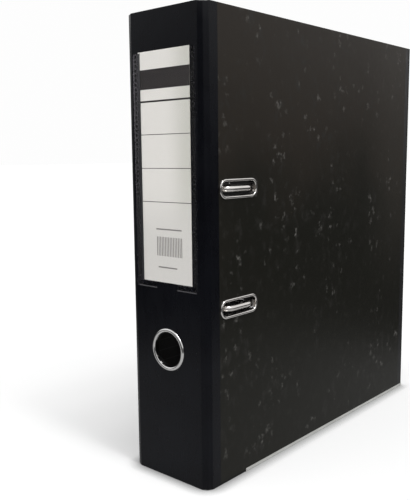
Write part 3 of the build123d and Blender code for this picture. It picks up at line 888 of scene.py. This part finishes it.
def make_weld(name, first, count, offset):
    """A row of spots from the first one's place, in x and z, at a fixed step."""
    bpy.ops.object.select_all(action="DESELECT")
    bpy.ops.mesh.primitive_torus_add(
        major_segments=20,
        minor_segments=12,
        major_radius=SPOT_RADIUS,
        minor_radius=SPOT_RING,
        location=(first[0], weld_y, first[1]),
        rotation=(pi / 2, 0, 0),
    )
    weld = bpy.context.object
    weld.name = name
    weld.scale = (1, 1, SPOT_FLAT)
    settle()
    weld.data.materials.append(pressed_film)
    weld.data.materials.append(dish_film)
    bpy.ops.object.mode_set(mode="EDIT")
    pick(weld, "faces", lambda spot: (spot.xz - Vector(first)).length < DISH)
    weld.active_material_index = 1
    bpy.ops.object.material_slot_assign()
    bpy.ops.object.mode_set(mode="OBJECT")
    row = weld.modifiers.new("row", "ARRAY")
    row.count = count
    row.use_relative_offset = False
    row.use_constant_offset = True
    row.constant_offset_displace = offset
    bpy.ops.object.modifier_apply(modifier="row")
    bpy.ops.object.shade_smooth()
    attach(weld, "spine")
    print(name, count, "spots")


# %% One strip
CORNER = 1.4 * MM               # radius of the strips' outer corners
STRIP_T = FILM_T + 0.04 * MM    # a little thicker than the pocket's own border, which it covers


def make_strip(name, side):
    """The film's flange beside the card: a flat strip with rounded outer corners."""
    bpy.ops.object.select_all(action="DESELECT")
    middle = (side * spot_column, pocket_high.y - FILM_T / 2, (pocket_low.z + pocket_high.z) / 2)
    bpy.ops.mesh.primitive_cube_add(size=1, location=middle)
    strip = bpy.context.object
    strip.name = name
    strip.scale = (STRIP_HALF - pocket_half, STRIP_T, pocket_high.z - pocket_low.z)
    settle()
    bpy.ops.object.mode_set(mode="EDIT")

    def outer_corner(spot):
        return abs(spot.x) > STRIP_HALF - 0.1 * MM and abs(spot.y - middle[1]) < HAIR

    pick(strip, "edges", outer_corner)
    bpy.ops.mesh.bevel(offset=CORNER, segments=5)
    bpy.ops.object.mode_set(mode="OBJECT")
    strip.data.materials.append(strip_film)
    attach(strip, "spine")
    print(name, len(strip.data.polygons), "faces")


# %% One bead
GAP_HALF = 9.5 * MM             # half the gap in the middle of the pocket's foot
BEAD = 0.4 * MM
BEAD_FLAT = 0.45
BEAD_ROUNDING = 0.12 * MM


def make_bead(name, side):
    """The bead of molten film along one short foot, where the hot tool cut it off."""
    bpy.ops.object.select_all(action="DESELECT")
    ends = (side * GAP_HALF, side * (STRIP_HALF - CORNER))
    bpy.ops.mesh.primitive_cylinder_add(
        vertices=12,
        radius=BEAD,
        depth=abs(ends[1] - ends[0]),
        location=(sum(ends) / 2, weld_y, pocket_low.z + BEAD),
        rotation=(0, pi / 2, 0),
    )
    bead = bpy.context.object
    bead.name = name
    bead.scale = (1, BEAD_FLAT, 1)
    settle()
    bpy.ops.object.mode_set(mode="EDIT")
    pick(bead, "edges", lambda spot: min(abs(spot.x - end) for end in ends) < HAIR)
    bpy.ops.mesh.bevel(offset=BEAD_ROUNDING, segments=2)
    bpy.ops.object.mode_set(mode="OBJECT")
    bpy.ops.object.shade_smooth_by_angle(angle=radians(50))
    bead.data.materials.append(bead_film)
    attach(bead, "spine")
    print(name, len(bead.data.polygons), "faces")


# %% Two strips, two beads and two rows
strip_film = mix_strip()
pressed_film = mix_rim()
dish_film = mix_dish()
bead_film = mix_bead()
spot_count = int((pocket_high.z - spot_start) / SPOT_PITCH)
for name, side in (("right", 1), ("left", -1)):
    make_strip("weld_strip_" + name, side)
    make_bead("foot_bead_" + name, side)
    make_weld("weld_" + name, (side * spot_column, spot_start), spot_count, (0, 0, SPOT_PITCH))

# %% [markdown]
# ## Table and light
#
# A plain white table runs to a white background. The table is a little grey and glows faintly, so
# that its lit part reaches white and the shadow on it stays. Close to where the file touches it,
# light hardly gets in, and an Ambient Occlusion node in the table's finish darkens it there.
#
# The shadow lies to the left of the spine, so the main light comes from the right. It is a tall
# strip, so the shadow keeps firm sides and fades along its length: four suns, one above the other,
# make such a strip with no fall-off.
#
# Black foil and bright metal look as good as what they mirror. So the mirrored room is lit as a
# studio is: white overhead and on the table close by, but dim all round at the height of the eye,
# on the table further off, and above that straight in front of the spine. Matt surfaces get an even
# light from all round, with more of it from in front of the spine and from the right.

# %% Table
PAINT_DARK, PAINT_PALE = grey(0.76), grey(0.785)
TABLE_GLOW = 0.30
NEAR_MIDDLE = (0.0, -0.12)      # middle of the mirrored pale patch, in front of the spine
NEAR_TABLE = (0.26, 0.50)       # metres from there: pale up to the first, dim from the second
NEAR_SHINE = 0.5
DIM = 0.05
CONTACT = 11 * MM               # how far the dark of a touching edge spreads on the table

bpy.ops.object.select_all(action="DESELECT")
bpy.ops.mesh.primitive_plane_add(size=40)
table = bpy.context.object
table.name = "table"
table_top = Finish("table_white", {"Roughness": 0.9, "Specular IOR Level": 0.1, "Emission Strength": 1.0})
paint = table_top.mix(table_top.noise(0.4), PAINT_DARK, PAINT_PALE)
x, y, _ = table_top.place()
x, y = x - NEAR_MIDDLE[0], y - NEAR_MIDDLE[1]
far = table_top.step(x * x + y * y, NEAR_TABLE[0] ** 2, NEAR_TABLE[1] ** 2)
kept = (1 - far) * NEAR_SHINE + far * DIM
mirrored = table_top.seen_by("Is Glossy Ray")
open_air = table_top.node("ShaderNodeAmbientOcclusion", {"samples": 12}, {"Distance": CONTACT}, "AO")
open_air = open_air * (0.5 + 0.5 * open_air) | mirrored
shown = (1 - (1 - kept) * mirrored) * open_air
glow = table_top.seen_by("Is Camera Ray", "Is Glossy Ray", "Is Transmission Ray") * shown
table_top.set("Base Color", table_top.mix(shown, grey(0.0), paint))
table_top.set("Emission Color", table_top.mix(glow, grey(0.0), grey(TABLE_GLOW)))
table.data.materials.append(table_top.material)
print("mirrored, the table is pale up to", NEAR_TABLE[0], "m from the spine")

# %% Suns
KEY_HEADING = Vector((0.999, -0.045, 0))
KEY_HEIGHTS = {49: 0.24, 60: 0.36, 70: 0.38, 80: 0.38}     # degrees up, and how strong
KEY_SPREAD = radians(10)

for height, strength in KEY_HEIGHTS.items():
    towards = KEY_HEADING * cos(radians(height)) + Vector((0, 0, sin(radians(height))))
    bpy.ops.object.select_all(action="DESELECT")
    bpy.ops.object.light_add(type="SUN")
    sun = bpy.context.object
    sun.name = f"key_{height}"
    sun.data.energy = strength
    sun.data.angle = KEY_SPREAD
    sun.rotation_euler = towards.to_track_quat("Z", "Y").to_euler()
print(len(KEY_HEIGHTS), "suns of", round(sum(KEY_HEIGHTS.values()), 2), "in all")

# %% World
ROOM = 0.30                     # what matt surfaces get from all round
FRONT = 1.10                    # and more from straight in front of the spine
SIDE = 0.50                     # and from the right, over the front cover
WHITE = 0.985
DIM_UP_TO = 0.26                # sine of the height over which the mirrored room turns white
DARK_FRONT = 0.85               # how much of that white is missing straight in front
DARK_AHEAD = (0.64, 0.84)       # cosine off straight in front: where that begins, and where it is full
DARK_BELOW = (0.75, 0.35)       # sine of the height: where it begins downwards, and where it is full

world = bpy.data.worlds.new("studio")
bpy.context.scene.world = world
world.use_nodes = True
air = Net(world.node_tree)
right, back, rise = air.split(air.node("ShaderNodeTexCoord", {}, {}, "Generated"))
ahead = 0.0 - back
dark_side = air.step(ahead, *DARK_AHEAD) * air.step(rise, *DARK_BELOW) * DARK_FRONT
bright = air.step(rise, 0.0, DIM_UP_TO) * (1 - dark_side)
overhead = air.mix(bright, grey(DIM), grey(WHITE))
backdrop = air.mix(air.seen_by("Is Glossy Ray"), grey(WHITE), overhead)
shown = air.seen_by("Is Camera Ray", "Is Glossy Ray", "Is Transmission Ray")
level = ROOM + FRONT * (ahead | 0.0) + SIDE * (right | 0.0)
room = air.node("ShaderNodeCombineColor", {}, {0: level, 1: level, 2: level})
air.plug(world.node_tree.nodes["Background"].inputs["Color"], air.mix(shown, room, backdrop))
bpy.context.scene.view_settings.view_transform = "Standard"
print("the room lights matt surfaces at", ROOM, "and up to", FRONT, "more in front")

# %% [markdown] ## Last words

# %% Finish
bpy.ops.object.select_all(action="DESELECT")
